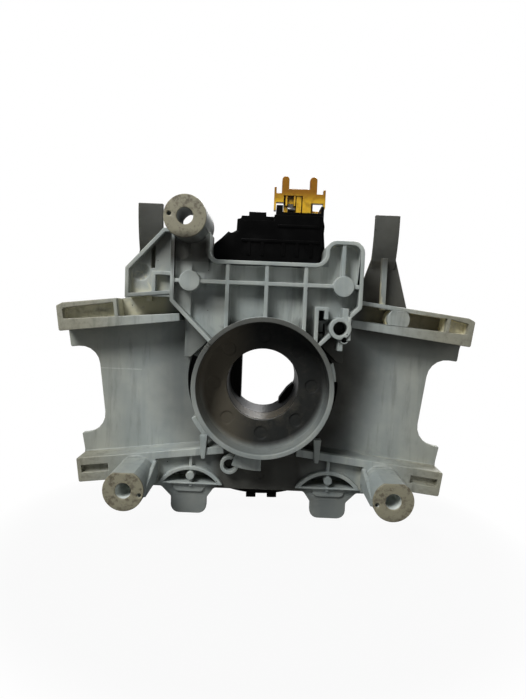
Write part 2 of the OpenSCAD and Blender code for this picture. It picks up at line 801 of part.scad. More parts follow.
// Reel cover: outer wall, front lip and pairs of snap teeth
module reel_cover() {
    color(black)
    difference() {
        union() {
            rod(cover_r, chamber_y, reel_front_y);
            for (a = tooth_angles, side = [-5, 5])
                rotate([0, -a, 0])
                    bar(cover_r - 1, flange_r + 1.9, side - 2.3, side + 2.3, front_y,
                        chamber_y + 3.8);
        }
        rod(chamber_r, chamber_y - 1, reel_front_y - lip_t);
        rod(lip_r, chamber_y, reel_front_y + 1);
        rod(flange_r + 0.15, front_y - 1, chamber_y);
        for (a = tooth_angles, side = [-5, 5])
            rotate([0, -a, 0])
                bar(flange_r - 1, flange_r + 2.5, side - 1.3, side + 1.3, front_y + 0.4,
                    chamber_y + 0.1);
        // Window through which the cable's outer end leaves the chamber
        bar(-9.5, 1.5, chamber_r - 4, cover_r + 3, chamber_y - 1, chamber_y + 14);
    }
}

// Slippery film under the cable and the carrier
module slip_sheet() {
    color("#d9d4c4")
    turned() translate([hub_r + 0.3, chamber_y]) square([chamber_r - hub_r - 0.6, sheet_t]);
}

// Carrier ring with the rollers' pins and the fences that keep the cable in place
module roller_carrier() {
    inner = inner_coil_r + tape_t / 2 + 0.5;
    outer = outer_coil_r - tape_t / 2 - 0.5;
    fence_end_y = carrier_y + 9;
    color("#d8d6cb") {
        turned() translate([inner, carrier_y]) square([outer - inner, carrier_t]);
        for (i = [0:roller_count - 1])
            rotate([0, -360 / roller_count * i, 0]) {
                rod(roller_pin_r, carrier_y + 0.5, tape_y + tape_w + 0.4, [bend_centre_r, 0]);
                for (r = [inner + 0.8, outer - 2])
                    rotate([0, -75, 0]) turned(60)
                        translate([r, carrier_y + 0.5]) square([1.2, fence_end_y - carrier_y - 0.5]);
            }
    }
}

// One guide roller, on its pin
module roller(i) {
    color("#e4e1d6")
    rotate([0, -360 / roller_count * (i - 1), 0])
        difference() {
            rod(roller_r, carrier_y + carrier_t + slack, tape_y + tape_w, [bend_centre_r, 0]);
            rod(roller_pin_r + run_gap, carrier_y, tape_y + tape_w + 1, [bend_centre_r, 0]);
            // Lightening groove in the front face
            translate([bend_centre_r, 0, 0]) turned()
                translate([roller_pin_r + 1.4, tape_y + tape_w - 4])
                    square([roller_r - roller_pin_r - 2.8, 5]);
        }
}

// One piece of the cable: an arc of radius r about a centre on the X axis
module tape_arc(r, centre, from, sweep) {
    translate([centre, 0, 0]) rotate([0, -from, 0]) turned(sweep)
        translate([r - tape_t / 2, tape_y]) square([tape_t, tape_w]);
}

// Flat cable: an outer and an inner coil, joined by a bend round the first roller
module flat_cable() {
    p = tape_pitch;
    color("#c9b27a") {
        tape_arc(bend_r, bend_centre_r, 0, 180);
        for (k = [0:tape_turns - 1]) {
            tape_arc(outer_coil_r + k * p, 0, 0, 0 - 180);
            tape_arc(outer_coil_r + k * p + p / 2, p / 2, 0, 180);
            tape_arc(inner_coil_r - k * p, 0, 0, 0 - 180);
            tape_arc(inner_coil_r - k * p - p / 2, -p / 2, 0, 180);
        }
        tape_arc(outer_coil_r + tape_turns * p, 0, 0, -90);
    }
}

// Moulded block that ends the outer coil and leads it to the rear terminals
module outer_lead_block() {
    low = outer_coil_r + (tape_turns - 1) * tape_pitch + tape_t / 2 + 0.2;
    color(black)
    bar(-8, 0, low, lead_top_z, tape_y, tape_y + tape_w);
}

// Moulded block on the drum that ends the inner coil
module inner_lead_block() {
    end_r = inner_coil_r - tape_turns * tape_pitch;
    color(black)
    rotate([0, -14, 0]) turned(14)
        translate([drum_r, tape_y]) square([end_r + tape_t / 2 + 0.1 - drum_r, tape_w]);
}

// Rotor: disc, cable drum, sleeve, drive pins and the two front connector sockets
module rotor() {
    socket_out_y = reel_front_y + 9;
    color(black)
    difference() {
        union() {
            rod(chamber_r - 0.5, disc_y, disc_front_y - 1.6);
            rod(lip_r - 0.4, disc_y, disc_front_y);
            rod(drum_r, chamber_y + 0.8, disc_y + 0.5);
            rod(shaft_r + 3, disc_y, reel_front_y + 3);
            for (s = [top_socket, low_socket])
                bar(s[0] - 1.5, s[1] + 1.5, s[2] - 1.5, s[3] + 1.5, disc_y + 1, socket_out_y);
            for (x = [-29, 29])
                rod(3, disc_y, reel_front_y + 6, [x, 0]);
        }
        difference() {
            rod(drum_r - drum_wall, chamber_y, disc_y);
            rod(sleeve_r, chamber_y, disc_y + 1);
        }
        difference() {
            rod(shaft_r, 0, reel_front_y + 4);
            // Flat and lug that key the rotor to the wheel's hub
            bar(-shaft_r - 1, -10.8, -20, 20, reel_front_y - 4, reel_front_y + 3);
            rotate([0, 35, 0])
                slab(reel_front_y - 4, reel_front_y + 3)
                    polygon([
                        [shaft_r + 1, -7.6], [14.6, -6.6], [13.4, -4.4], [13.4, 2.2], [14.2, 6],
                        [shaft_r + 1, 8]
                    ]);
        }
        for (s = [top_socket, low_socket])
            bar(s[0], s[1], s[2], s[3], disc_front_y, socket_out_y + 1);
        // Index window in the disc
        rod(3, disc_y - 1, disc_front_y + 1, [-31, 27]);
    }
    color(black)
    difference() {
        rod(sleeve_r, sleeve_rear_y, disc_y + 0.5);
        rod(shaft_r, 0, reel_front_y);
        rod(cam_nose_r + seat_gap / 2, 0, sleeve_rear_y + cam_nose + 0.3);
    }
}

// Cancelling cam, pressed into the rear of the sleeve, which also holds the rotor in the reel
module cancel_cam() {
    lobe_w = 13;
    color("#2b2b2d")
    difference() {
        union() {
            rod(cam_r - 2, cam_rear_y, sleeve_rear_y);
            rod(cam_nose_r, sleeve_rear_y - 1, sleeve_rear_y + cam_nose);
            for (turn = [0, 180])
                rotate([0, turn, 0])
                    slab(cam_rear_y + 2, sleeve_rear_y - 1)
                        polygon(rounded([
                            [0, -lobe_w / 2], [cam_r - 0.2, -lobe_w / 2, 2],
                            [cam_r - 0.2, lobe_w / 2, 2], [0, lobe_w / 2]
                        ]));
        }
        rod(shaft_r, 0, reel_front_y);
    }
}

// Flat pins of the rear connector: two rows on the left, igniter pins on the right
module rear_pins() {
    pitch = 2.6;
    middle_y = (socket_y[0] + socket_y[1]) / 2;
    middle_x = (post_left[1] + post_right[0]) / 2;
    color(steel) on_reel()
    for (y = [-2.4, 2.4]) {
        for (i = [1:4])
            translate([left_socket[0] + pitch * i - 0.3, middle_y + y - 0.3, socket_floor_z])
                cube([0.6, 0.6, 8]);
        for (x = [-4.2, 4.2])
            translate([middle_x + x - 0.5, middle_y + y + 1.7, socket_floor_z])
                cube([1, 0.6, 9]);
    }
}

// Flat pins of the two front sockets
module front_pins() {
    pin_h = 6.5;
    pitch = 3;
    row_z = (top_socket[2] + top_socket[3]) / 2;
    low_z = (low_socket[2] + low_socket[3]) / 2;
    color(steel) {
        for (i = [-2.5:2.5], z = [row_z - 2.5, row_z + 2.5])
            bar(pitch * i - 0.3, pitch * i + 0.3, z - 0.3, z + 0.3, disc_front_y,
                disc_front_y + pin_h);
        for (x = [-pitch, pitch])
            bar(x - 0.5, x + 0.5, low_z - 0.4, low_z + 0.4, disc_front_y, disc_front_y + pin_h);
    }
}

// Amber lock slide, standing raised in the right socket
module lock_slide() {
    bridge_z = right_block_z + 6;
    wing_z = right_block_z + lock_travel + slack;
    arm_z = bridge_z + 3.7;
    prong_w = 3.3;
    prong_x = [5.4, 18.4];
    pocket_x = [7.3, 11.9];
    pocket_z = bridge_z - 4.6;
    pocket_t = 0.8;
    foot_z = bridge_z - 8.9;
    web_x = [post_left[1] + slack + 0.1, 20.2];
    front = slide_y + 3.4;
    color(amber) on_reel() {
        // Two prongs on a bridge, with a wing and a spring arm beside each post
        slab(slide_y, front)
            for (x = prong_x)
                polygon(rounded([[x, bridge_z], [x + prong_w, bridge_z],
                    [x + prong_w, prong_z, 1.4], [x, prong_z, 1.4]]));
        bar(prong_x[0], prong_x[1] + prong_w, bridge_z, bridge_z + 3.1, slide_y, front);
        bar(post_left[0] - 1, prong_x[0] + 1, wing_z, bridge_z + 1, slide_y, front);
        bar(prong_x[1], post_right[1] + 1, wing_z, bridge_z + 1, slide_y, front);
        bar(post_left[0] - 1.2, post_left[0] - 0.2, right_block_z - 1, arm_z, slide_y, front);
        bar(post_right[1] + 0.2, post_right[1] + 1.2, right_block_z + 0.6, arm_z - 0.6,
            slide_y, front);
        // Pocket for the clip, middle rib, broad tongue and the web behind them
        for (x = [pocket_x[0], pocket_x[1] - pocket_t])
            bar(x, x + pocket_t, pocket_z, bridge_z + 1, slide_y + 0.2, front - 0.4);
        bar(pocket_x[0], pocket_x[1], pocket_z + 1.1, bridge_z + 1, slide_y + 1.9, front - 0.4);
        bar(12.3, 14.7, foot_z - 0.6, bridge_z + 1, slide_y + 0.4, slide_y + 2.6);
        bar(15.2, 19.2, foot_z - 1.6, bridge_z + 1, slide_y, slide_y + 1.6);
        bar(web_x[0], web_x[1], foot_z, bridge_z + 1, slide_y + 2.6, front);
        bar(web_x[1] - 1, post_right[0] - slack, foot_z, foot_z + 2.6, slide_y + 2.6, front);
        bar(12.3, 19.2, foot_z, foot_z + 1.4, slide_y + 1, front);
    }
}

// Spring strip that shorts the igniter's pins, curled round under the slide's pocket
module shorting_clip() {
    x0 = post_left[1] + 2.3;
    w = 3.5;
    tail_w = 2.6;
    curl_r = 1.2;
    strip_t = 0.4;
    y0 = slide_y + 1;
    curl_z = right_block_z - 0.2;
    color(steel) on_reel() {
        translate([x0, y0, curl_z]) rotate([0, 90, 0])
            difference() {
                cylinder(r = curl_r, h = w);
                translate([0, 0, -1]) cylinder(r = curl_r - strip_t, h = w + 2);
            }
        translate([x0, y0 + curl_r - strip_t, 72]) cube([w, strip_t, curl_z - 72]);
        translate([x0, y0 + curl_r - strip_t, curl_z - 1]) cube([tail_w, strip_t, 3.6]);
    }
}

// Self-tapping screws that hold the reel on the body
module reel_screws() {
    head_h = 3;
    color(steel)
    for (at = [left_pillar, right_pillar])
        difference() {
            union() {
                rod(4, chamber_y, chamber_y + head_h, at);
                rod(pilot_d / 2 - 0.05, front_y - pilot_depth + 1, chamber_y + 0.5, at);
            }
            for (turn = [0, 90])
                translate([at[0], 0, at[1]]) rotate([0, turn, 0])
                    bar(-2.2, 2.2, -0.45, 0.45, chamber_y + 1.2, chamber_y + head_h + 1);
        }
}

switch_body();
reel_base();
terminal_cover();
reel_cover();
slip_sheet();
roller_carrier();
roller(1);  // roller_1
roller(2);  // roller_2
roller(3);  // roller_3
roller(4);  // roller_4
flat_cable();
outer_lead_block();
inner_lead_block();
rotor();
cancel_cam();
rear_pins();
front_pins();
lock_slide();
shorting_clip();
reel_screws();
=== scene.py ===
# %% [markdown]
# # A steering clock spring on its switch body
#
# The unit is seen from the steering column's side. A pale nylon moulding, the switch body, fills
# the picture: its collar slips over the column, and its drooping side sockets take the two stalk
# switches. Behind it sits the black reel of the clock spring, with a connector housing on top and
# an amber lock slide in it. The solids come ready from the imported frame. This lesson gives them
# soft edges, dirt in their recesses and the finishes of a part that has served for years.

import json
import math
from types import SimpleNamespace

import bmesh
import bpy
from mathutils import Matrix, Vector


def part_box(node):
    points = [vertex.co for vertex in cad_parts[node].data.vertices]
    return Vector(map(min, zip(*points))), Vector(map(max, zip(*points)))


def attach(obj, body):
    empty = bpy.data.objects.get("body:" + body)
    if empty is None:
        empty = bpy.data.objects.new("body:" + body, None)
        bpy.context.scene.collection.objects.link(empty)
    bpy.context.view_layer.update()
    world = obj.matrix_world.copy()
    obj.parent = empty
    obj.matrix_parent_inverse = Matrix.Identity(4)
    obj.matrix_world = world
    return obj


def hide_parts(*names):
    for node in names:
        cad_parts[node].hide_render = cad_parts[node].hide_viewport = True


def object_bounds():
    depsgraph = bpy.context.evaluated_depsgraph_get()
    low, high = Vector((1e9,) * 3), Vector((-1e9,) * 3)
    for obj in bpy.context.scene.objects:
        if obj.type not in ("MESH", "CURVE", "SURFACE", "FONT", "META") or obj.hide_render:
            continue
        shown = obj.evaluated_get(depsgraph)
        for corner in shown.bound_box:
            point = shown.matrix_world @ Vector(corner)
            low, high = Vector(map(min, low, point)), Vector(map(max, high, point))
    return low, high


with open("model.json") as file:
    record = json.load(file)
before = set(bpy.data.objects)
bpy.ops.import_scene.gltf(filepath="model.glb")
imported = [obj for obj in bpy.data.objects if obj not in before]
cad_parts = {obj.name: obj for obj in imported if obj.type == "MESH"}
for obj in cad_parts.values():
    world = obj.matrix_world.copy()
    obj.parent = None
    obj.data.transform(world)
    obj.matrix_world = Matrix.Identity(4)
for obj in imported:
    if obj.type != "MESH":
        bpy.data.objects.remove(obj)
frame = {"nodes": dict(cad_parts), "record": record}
cad_low, cad_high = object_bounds()
MM = 0.001

# %% [markdown]
# The photograph was taken with a wide lens about 22 cm away from the collar's rim, so near
# forms such as the screw bosses look large. Its camera is known from three things in the
# picture: the point where lines along the column meet, the middle of the collar's rim, and the
# rim's size. The picture is 526 x 699 pixels, and the focal length is about as long as the
# picture is wide.

# %% Camera at the photograph's place
PICTURE = Vector((526, 699))
FOCAL_PX = 526.0
COLUMN_VANISHING_PX = Vector((266.0, 309.0))
RIM_CENTRE_PX = Vector((262.4, 389.5))
RIM_DISTANCE = 219 * MM
ROLL = math.radians(2.3)
SENSOR = 36

middle = PICTURE / 2


def sight(pixel):
    """Direction through a pixel, in the camera's own axes: right, down and forward."""
    return Vector((*((pixel - middle) / FOCAL_PX), 1.0))


along_y = sight(COLUMN_VANISHING_PX).normalized()
tilted_up = Vector((math.sin(ROLL), -math.cos(ROLL), 0))
along_z = (tilted_up - tilted_up.dot(along_y) * along_y).normalized()
along_x = along_y.cross(along_z)
rim = sight(RIM_CENTRE_PX) * RIM_DISTANCE
place = Vector((-rim.dot(along_x), -rim.dot(along_y), -rim.dot(along_z)))

camera = bpy.data.objects.new("photo_camera", bpy.data.cameras.new("photo_camera"))
bpy.context.scene.collection.objects.link(camera)
camera.matrix_world = Matrix([
    [axis[0], -axis[1], -axis[2], place[i]] for i, axis in enumerate((along_x, along_y, along_z))
] + [[0, 0, 0, 1]])
camera.data.sensor_fit = "AUTO"
camera.data.sensor_width = SENSOR
camera.data.lens = SENSOR * FOCAL_PX / PICTURE.y
camera.data.clip_start = 5 * MM
bpy.context.scene.camera = camera
print("camera stands at (mm):", [round(v / MM, 1) for v in place])

# %% [markdown]
# Every finish below is written as a colour in the way that a paint shop or a web page writes it.
# Blender's shaders work in linear light, so one function turns the code into linear values. A
# second small function adds a node to any tree, with its settings and its links in one line.

# %% Colours and nodes


def linear(code):
    """Linear colour of a six-digit sRGB code."""
    parts = [int(code.lstrip("#")[i:i + 2], 16) / 255 for i in (0, 2, 4)]
    light = [c / 12.92 if c <= 0.04045 else ((c + 0.055) / 1.055) ** 2.4 for c in parts]
    return (*light, 1.0)


def set_values(node, values):
    """Sets some of a node's inputs."""
    for socket, value in values.items():
        node.inputs[socket].default_value = value


def add(tree, kind, settings=None, values=None, links=None):
    """Adds a node: its settings, its inputs' values, and its inputs' links from other outputs."""
    made = tree.nodes.new(kind)
    for name, value in (settings or {}).items():
        setattr(made, name, value)
    set_values(made, values or {})
    for socket, source in (links or {}).items():
        tree.links.new(source, made.inputs[socket])
    return made


def math_node(tree, operation, a, b=None, clamp=False):
    """Output of one sum on numbers or on other outputs."""
    given = [a] if b is None else [a, b]
    values = {i: v for i, v in enumerate(given) if not hasattr(v, "links")}
    links = {i: v for i, v in enumerate(given) if hasattr(v, "links")}
    settings = {"operation": operation, "use_clamp": clamp}
    return add(tree, "ShaderNodeMath", settings, values, links).outputs[0]


def axes(tree, vector):
    """The three coordinates of a vector: outputs X, Y and Z."""
    return add(tree, "ShaderNodeSeparateXYZ", links={"Vector": vector}).outputs


def mixed(tree, factor, first, second):
    """Colour between two colours or outputs."""
    made = add(tree, "ShaderNodeMix", {"data_type": "RGBA", "clamp_factor": True})
    for socket, value in ((made.inputs["Factor"], factor), (made.inputs[6], first),
                          (made.inputs[7], second)):
        if hasattr(value, "links"):
            tree.links.new(value, socket)
        else:
            socket.default_value = value
    return made.outputs[2]


print("helpers ready; mid grey is", [round(v, 3) for v in linear("#808080")])

# %% [markdown]
# A finish is never even, so most colours below are mixed by a noise. A noise is described here
# by the width of its lumps, which can be measured on the real thing. Stretched coordinates draw
# it out into bands or streaks. A bump map bends the light on the surface as a fine grain does,
# and leaves the shape alone.

# %% Noises, bumps and new materials


def noise(tree, coordinates, wavelength, detail=3.0, roughness=0.5):
    """Noise whose lumps are about one wavelength across, in metres."""
    made = add(tree, "ShaderNodeTexNoise",
               values={"Scale": 1 / wavelength, "Detail": detail, "Roughness": roughness},
               links={"Vector": coordinates})
    return made.outputs["Fac"]


def stretched(tree, vector, scale):
    """Coordinates scaled on each axis: a small scale draws a noise out along that axis."""
    return add(tree, "ShaderNodeMapping", values={"Scale": scale},
               links={"Vector": vector}).outputs[0]


def bump(tree, height, strength, distance, normal=None):
    """Normal bent by a height map, whose full height is the distance given in metres."""
    links = {"Height": height} if normal is None else {"Height": height, "Normal": normal}
    made = add(tree, "ShaderNodeBump", values={"Strength": strength, "Distance": distance},
               links=links)
    return made.outputs["Normal"]


def new_material(name, roughness=0.5, metallic=0.0, ior=1.5):
    """A plain finish and its shader, with object coordinates to hand."""
    material = bpy.data.materials.new(name)
    material.use_nodes = True
    tree = material.node_tree
    shader = tree.nodes["Principled BSDF"]
    set_values(shader, {"Roughness": roughness, "Metallic": metallic, "IOR": ior})
    return material, tree, shader, tree.nodes.new("ShaderNodeTexCoord").outputs["Object"]


print("a noise with lumps of 2 mm has the scale", 1 / (2 * MM))

# %% [markdown]
# No moulded part has razor edges: the mould's corners are worn and every edge is broken by 0.1
# to 0.3 mm. An edge that narrow is what catches the light and makes the part look real. Each
# solid is copied, its flat faces are joined, and its edges are rounded with a Bevel modifier.
# The copy stands for the solid and lies in the same place.
#
# The copy is then cut into small triangles, because the next step stores a value at each corner.

# %% Soft-edged copies of the solids
SHARP_ANGLE = math.radians(35)
FLAT_ANGLE = math.radians(1)
WELD = 0.002 * MM
BEVEL_SEGMENTS = 2
SPLIT_PASSES = 5


def make_plain(piece):
    """Turns an object and its modifiers into one plain mesh."""
    evaluated = piece.evaluated_get(bpy.context.evaluated_depsgraph_get())
    plain = bpy.data.meshes.new_from_object(evaluated)
    piece.modifiers.clear()
    old = piece.data
    piece.data = plain
    bpy.data.meshes.remove(old)


def split_long_edges(mesh, longest):
    """Cuts the triangles of a mesh until hardly any edge is longer than the length given."""
    work = bmesh.new()
    work.from_mesh(mesh)
    bmesh.ops.triangulate(work, faces=work.faces)
    for _ in range(SPLIT_PASSES):
        long_edges = [e for e in work.edges if e.calc_length() > longest]
        bmesh.ops.subdivide_edges(work, edges=long_edges, cuts=1)
        bmesh.ops.triangulate(work, faces=[f for f in work.faces if len(f.verts) > 3])
    work.to_mesh(mesh)
    work.free()


def soft_copy(node, edge_radius, longest):
    """A copy of a solid with rounded edges, as an object at the origin."""
    work = bmesh.new()
    work.from_mesh(frame["nodes"][node].data)
    bmesh.ops.remove_doubles(work, verts=work.verts, dist=WELD)
    bmesh.ops.dissolve_limit(work, angle_limit=FLAT_ANGLE, verts=work.verts, edges=work.edges)
    mesh = bpy.data.meshes.new(node + "_soft")
    work.to_mesh(mesh)
    work.free()
    piece = bpy.data.objects.new(node + "_soft", mesh)
    bpy.context.scene.collection.objects.link(piece)
    bevel = piece.modifiers.new("broken edges", "BEVEL")
    bevel.width = edge_radius
    bevel.segments = BEVEL_SEGMENTS
    bevel.limit_method = "ANGLE"
    bevel.angle_limit = SHARP_ANGLE
    bevel.use_clamp_overlap = False
    make_plain(piece)
    split_long_edges(piece.data, longest)
    return piece


print("edges sharper than", round(math.degrees(SHARP_ANGLE)), "degrees are rounded")

# %% [markdown]
# Grease and road dust gather where a cloth never reaches, and shade falls where light hardly
# reaches: in corners, at the feet of ribs, in the collar. The finishes below use two maps of such
# places for dirt, dust and dark seams, and on the nylon also for painted shade. From each corner
# of the mesh, rays are sent out over the half space that it faces. The share that meets the part
# again within a few millimetres says how deep in a recess the corner lies, and a near hit counts
# for more than a far one. Geometry Nodes do this quickly: a Repeat zone sends one ray from every
# corner on each pass and adds up what it meets. The result is stored as an attribute named
# recess. The same with long rays tells the wide hollows, such as the walls beside the collar,
# and is stored as hollow.

# %% Recess map as a node tree
RAYS = 24
FEWER_RAYS = 12
RAY_LIFT = 0.05 * MM


def recess_tree():
    """Node tree that stores, under the name given, how near the part is all round a corner."""
    tree = bpy.data.node_groups.new("recess map", "GeometryNodeTree")
    for name, kind in (("Geometry", "Geometry"), ("Rays", "Int"), ("Reach", "Float"),
                       ("Seed", "Int"), ("Map", "String"), ("Material", "Material")):
        tree.interface.new_socket(name, in_out="INPUT", socket_type="NodeSocket" + kind)
    tree.interface.new_socket("Geometry", in_out="OUTPUT", socket_type="NodeSocketGeometry")
    given = tree.nodes.new("NodeGroupInput").outputs
    start = tree.nodes.new("GeometryNodeRepeatInput")
    end = tree.nodes.new("GeometryNodeRepeatOutput")
    start.pair_with_output(end)
    end.repeat_items.clear()
    end.repeat_items.new("FLOAT", "Met")
    tree.links.new(given["Rays"], start.inputs["Iterations"])
    start.inputs["Met"].default_value = 0.0

    # One ray from each corner, somewhere over the half space that it faces
    here = tree.nodes.new("GeometryNodeInputPosition").outputs[0]
    facing = tree.nodes.new("GeometryNodeInputNormal").outputs["Normal"]
    seed = math_node(tree, "ADD", start.outputs["Iteration"], given["Seed"])
    scatter = add(tree, "FunctionNodeRandomValue", {"data_type": "FLOAT_VECTOR"},
                  {"Min": (-1, -1, -1), "Max": (1, 1, 1)}, {"Seed": seed}).outputs["Value"]
    unit = add(tree, "ShaderNodeVectorMath", {"operation": "NORMALIZE"}, links={0: scatter})
    aim = add(tree, "ShaderNodeVectorMath", {"operation": "ADD"},
              links={0: unit.outputs[0], 1: facing}).outputs[0]
    lifted = add(tree, "ShaderNodeVectorMath", {"operation": "MULTIPLY_ADD"},
                 {1: (RAY_LIFT,) * 3}, {0: facing, 2: here}).outputs[0]
    ray = add(tree, "GeometryNodeRaycast",
              links={"Target Geometry": given["Geometry"], "Source Position": lifted,
                     "Ray Direction": aim, "Ray Length": given["Reach"]})

    # A hit counts from 1 at the corner itself down to 0 at the ray's full reach
    share = math_node(tree, "DIVIDE", ray.outputs["Hit Distance"], given["Reach"])
    nearness = math_node(tree, "SUBTRACT", 1.0, share)
    counted = math_node(tree, "MULTIPLY", ray.outputs["Is Hit"], nearness)
    total = math_node(tree, "ADD", start.outputs["Met"], counted)
    tree.links.new(total, end.inputs["Met"])
    mean = math_node(tree, "DIVIDE", end.outputs["Met"], given["Rays"])

    store = add(tree, "GeometryNodeStoreNamedAttribute",
                {"data_type": "FLOAT", "domain": "POINT"},
                links={"Geometry": given["Geometry"], "Name": given["Map"], "Value": mean})
    soft = add(tree, "GeometryNodeSetShadeSmooth", links={"Geometry": store.outputs[0]})
    painted = add(tree, "GeometryNodeSetMaterial",
                  links={"Geometry": soft.outputs[0], "Material": given["Material"]})
    tree.links.new(painted.outputs[0], tree.nodes.new("NodeGroupOutput").inputs["Geometry"])
    return tree


RECESS_TREE = recess_tree()
print("recess map made of", len(RECESS_TREE.nodes), "nodes")

# %% [markdown]
# Now a solid can be dressed: its soft copy gets both maps and its finish. A Weighted Normal
# modifier lets the large faces stay flat, so that only the narrow rounded edges bend the light.
# Then the modifiers are made plain, the copy is attached to the body that it moves with, and the
# solid that it stands for is hidden.

# %% Dress one piece
MAPS = {"recess": 7 * MM, "hollow": 34 * MM}
RAY_SEED = 7
FLATNESS = 80


def set_input(modifier, name, value):
    """Sets a node modifier's input by the identifier that its name stands for."""
    sockets = modifier.node_group.interface.items_tree
    wanted = next(s for s in sockets if s.name == name and s.in_out == "INPUT")
    modifier[wanted.identifier] = value


def dress(node, material, edge_radius, longest, rays=RAYS):
    """Makes the soft-edged copy that stands for a solid, with its two maps and its finish."""
    piece = soft_copy(node, edge_radius, longest)
    for name, reach in MAPS.items():
        mapper = piece.modifiers.new(name, "NODES")
        mapper.node_group = RECESS_TREE
        for socket, value in (("Map", name), ("Rays", rays), ("Reach", reach),
                              ("Seed", RAY_SEED), ("Material", material)):
            set_input(mapper, socket, value)
    weigh = piece.modifiers.new("flat faces stay flat", "WEIGHTED_NORMAL")
    weigh.weight = FLATNESS
    make_plain(piece)
    body = next(b for b, members in frame["record"]["behaviour"]["bodies"].items()
                if node in members)
    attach(piece, body)
    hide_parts(node)
    print(piece.name, "has", len(piece.data.polygons), "triangles")
    return piece


print("maps and the reach of their rays (mm):", {n: round(r / MM) for n, r in MAPS.items()})

# %% [markdown]
# ## Natural nylon
#
# The switch body is moulded in glass-filled nylon with no pigment. New, it is a cold greyish
# white. This one has yellowed a little towards its ends, its boss faces are stained, a brown
# film has settled in its hollows, and the collar that sat on the column is almost black with
# grease inside. Some of its light and shade is painted into the colour as well: painted shade
# and painted shadow in hollows, recesses, under the rails and round the collar, and painted
# light in the rails' channels, the screw holes, the plate's upper cells and the collar's left.
#
# The shader builds that up in layers: the clean colour, age and stains with painted light, the
# film with painted shade, grime and painted shade in the recesses, grease with painted shade and
# painted light in the collar, and last a few black specks. Each layer is laid on through a
# mask, a number from 0 to 1 that is made of a map, a noise and a place on the part. The
# functions here make masks and join them.

# %% Masks


def ramp(tree, source, low, high):
    """Output that rises smoothly from 0 where the source is low to 1 where it is high."""
    return add(tree, "ShaderNodeMapRange", {"interpolation_type": "SMOOTHSTEP"},
               {"From Min": low, "From Max": high}, {"Value": source}).outputs["Result"]


def except_where(tree, mask):
    """The rest of a mask."""
    return math_node(tree, "SUBTRACT", 1.0, mask)


def fall(tree, source, low, high):
    """Output that falls smoothly from 1 where the source is low to 0 where it is high."""
    return except_where(tree, ramp(tree, source, low, high))


def both(tree, *masks):
    """Product of masks: 1 only where every one of them is. A number weakens the others."""
    product = masks[0]
    for mask in masks[1:]:
        product = math_node(tree, "MULTIPLY", product, mask)
    return product


def either(tree, *masks):
    """The largest of some masks."""
    largest = masks[0]
    for mask in masks[1:]:
        largest = math_node(tree, "MAXIMUM", largest, mask)
    return largest


def between(tree, mask, low, high):
    """Output that goes from low, where the mask is 0, to high, where it is 1."""
    return math_node(tree, "ADD", both(tree, mask, high - low), low)


def stored_map(tree, name):
    """Values of a map that lies on the mesh."""
    return add(tree, "ShaderNodeAttribute", {"attribute_name": name}).outputs["Fac"]


def distance_from(tree, point, centre):
    """Distance of a vector output from a fixed point."""
    return add(tree, "ShaderNodeVectorMath", {"operation": "DISTANCE"}, {1: centre},
               {0: point}).outputs["Value"]


print("maps that masks can use:", ", ".join(MAPS))

# %% [markdown]
# The part is measured from the column's axis: x runs to the right in the picture, y away from
# the camera, and z up. Places that several layers share are worked out once. On the nylon both
# maps darken with dirt and with painted shade, so they are weakened in the open channels, the
# arches, the screw holes and the plate's cells, which look lighter than their depth would have
# it.

# %% Places on the switch body
UPPER_BOSS = (-33.1 * MM, 68.6 * MM, 0)
LOWER_BOSS = (55.3 * MM, -42.9 * MM, 0)
ORIGIN = (0, 0, 0)
CLOUD = 14 * MM
MOTTLE = 2.2 * MM
FLOW_BAND = 9 * MM
UPRIGHT = (1, 1, 0.12)


def nylon_places(tree, here):
    """Coordinates, places, maps and noises that the nylon's layers share."""
    at = SimpleNamespace(here=here)
    at.x, at.y, at.z = axes(tree, here)
    at.off_axis = math_node(tree, "ABSOLUTE", at.x)
    at.below = math_node(tree, "MULTIPLY", at.z, -1.0)
    at.deep_in = ramp(tree, at.y, 16.5 * MM, 19 * MM)

    # Seen along the column: how far from its axis and from the screw bosses
    flat = add(tree, "ShaderNodeCombineXYZ", links={"X": at.x, "Y": at.z}).outputs[0]
    mirrored = add(tree, "ShaderNodeCombineXYZ", links={"X": at.off_axis, "Y": at.z}).outputs[0]
    at.from_axis = distance_from(tree, flat, ORIGIN)
    at.off_boss = distance_from(tree, flat, UPPER_BOSS)
    nearest_boss = math_node(tree, "MINIMUM", at.off_boss,
                             distance_from(tree, mirrored, LOWER_BOSS))
    at.bore = fall(tree, nearest_boss, 6.5 * MM, 7 * MM)
    at.boss_face = fall(tree, at.y, -7.6 * MM, -6.6 * MM)

    at.rails = both(tree, ramp(tree, at.off_axis, 42 * MM, 48 * MM),
                    fall(tree, at.y, 26 * MM, 28 * MM))
    at.plate = both(tree, ramp(tree, at.z, 28 * MM, 34 * MM),
                    fall(tree, at.y, 13.5 * MM, 15 * MM))
    arches = both(tree, ramp(tree, at.below, 32 * MM, 34 * MM),
                  ramp(tree, at.off_axis, 8 * MM, 11 * MM))
    # Less dirt and less painted shade in these places
    less_grime_and_shade = except_where(tree, either(tree, both(tree, at.rails, 0.85), both(tree, arches, 0.8),
                                        at.bore, both(tree, at.plate, 0.45)))
    enclosed = stored_map(tree, "hollow")
    at.recess = both(tree, stored_map(tree, "recess"), less_grime_and_shade)
    at.hollow = both(tree, enclosed, less_grime_and_shade)
    at.within = ramp(tree, enclosed, 0.3, 0.55)

    at.upright = stretched(tree, here, UPRIGHT)
    at.cloud = noise(tree, here, CLOUD, 4)
    at.mottle = noise(tree, here, MOTTLE, 5, 0.65)
    at.flow = noise(tree, at.upright, FLOW_BAND, 3, 0.55)
    return at


print("noises on the nylon (mm):", [round(v / MM, 1) for v in (CLOUD, MOTTLE, FLOW_BAND)])

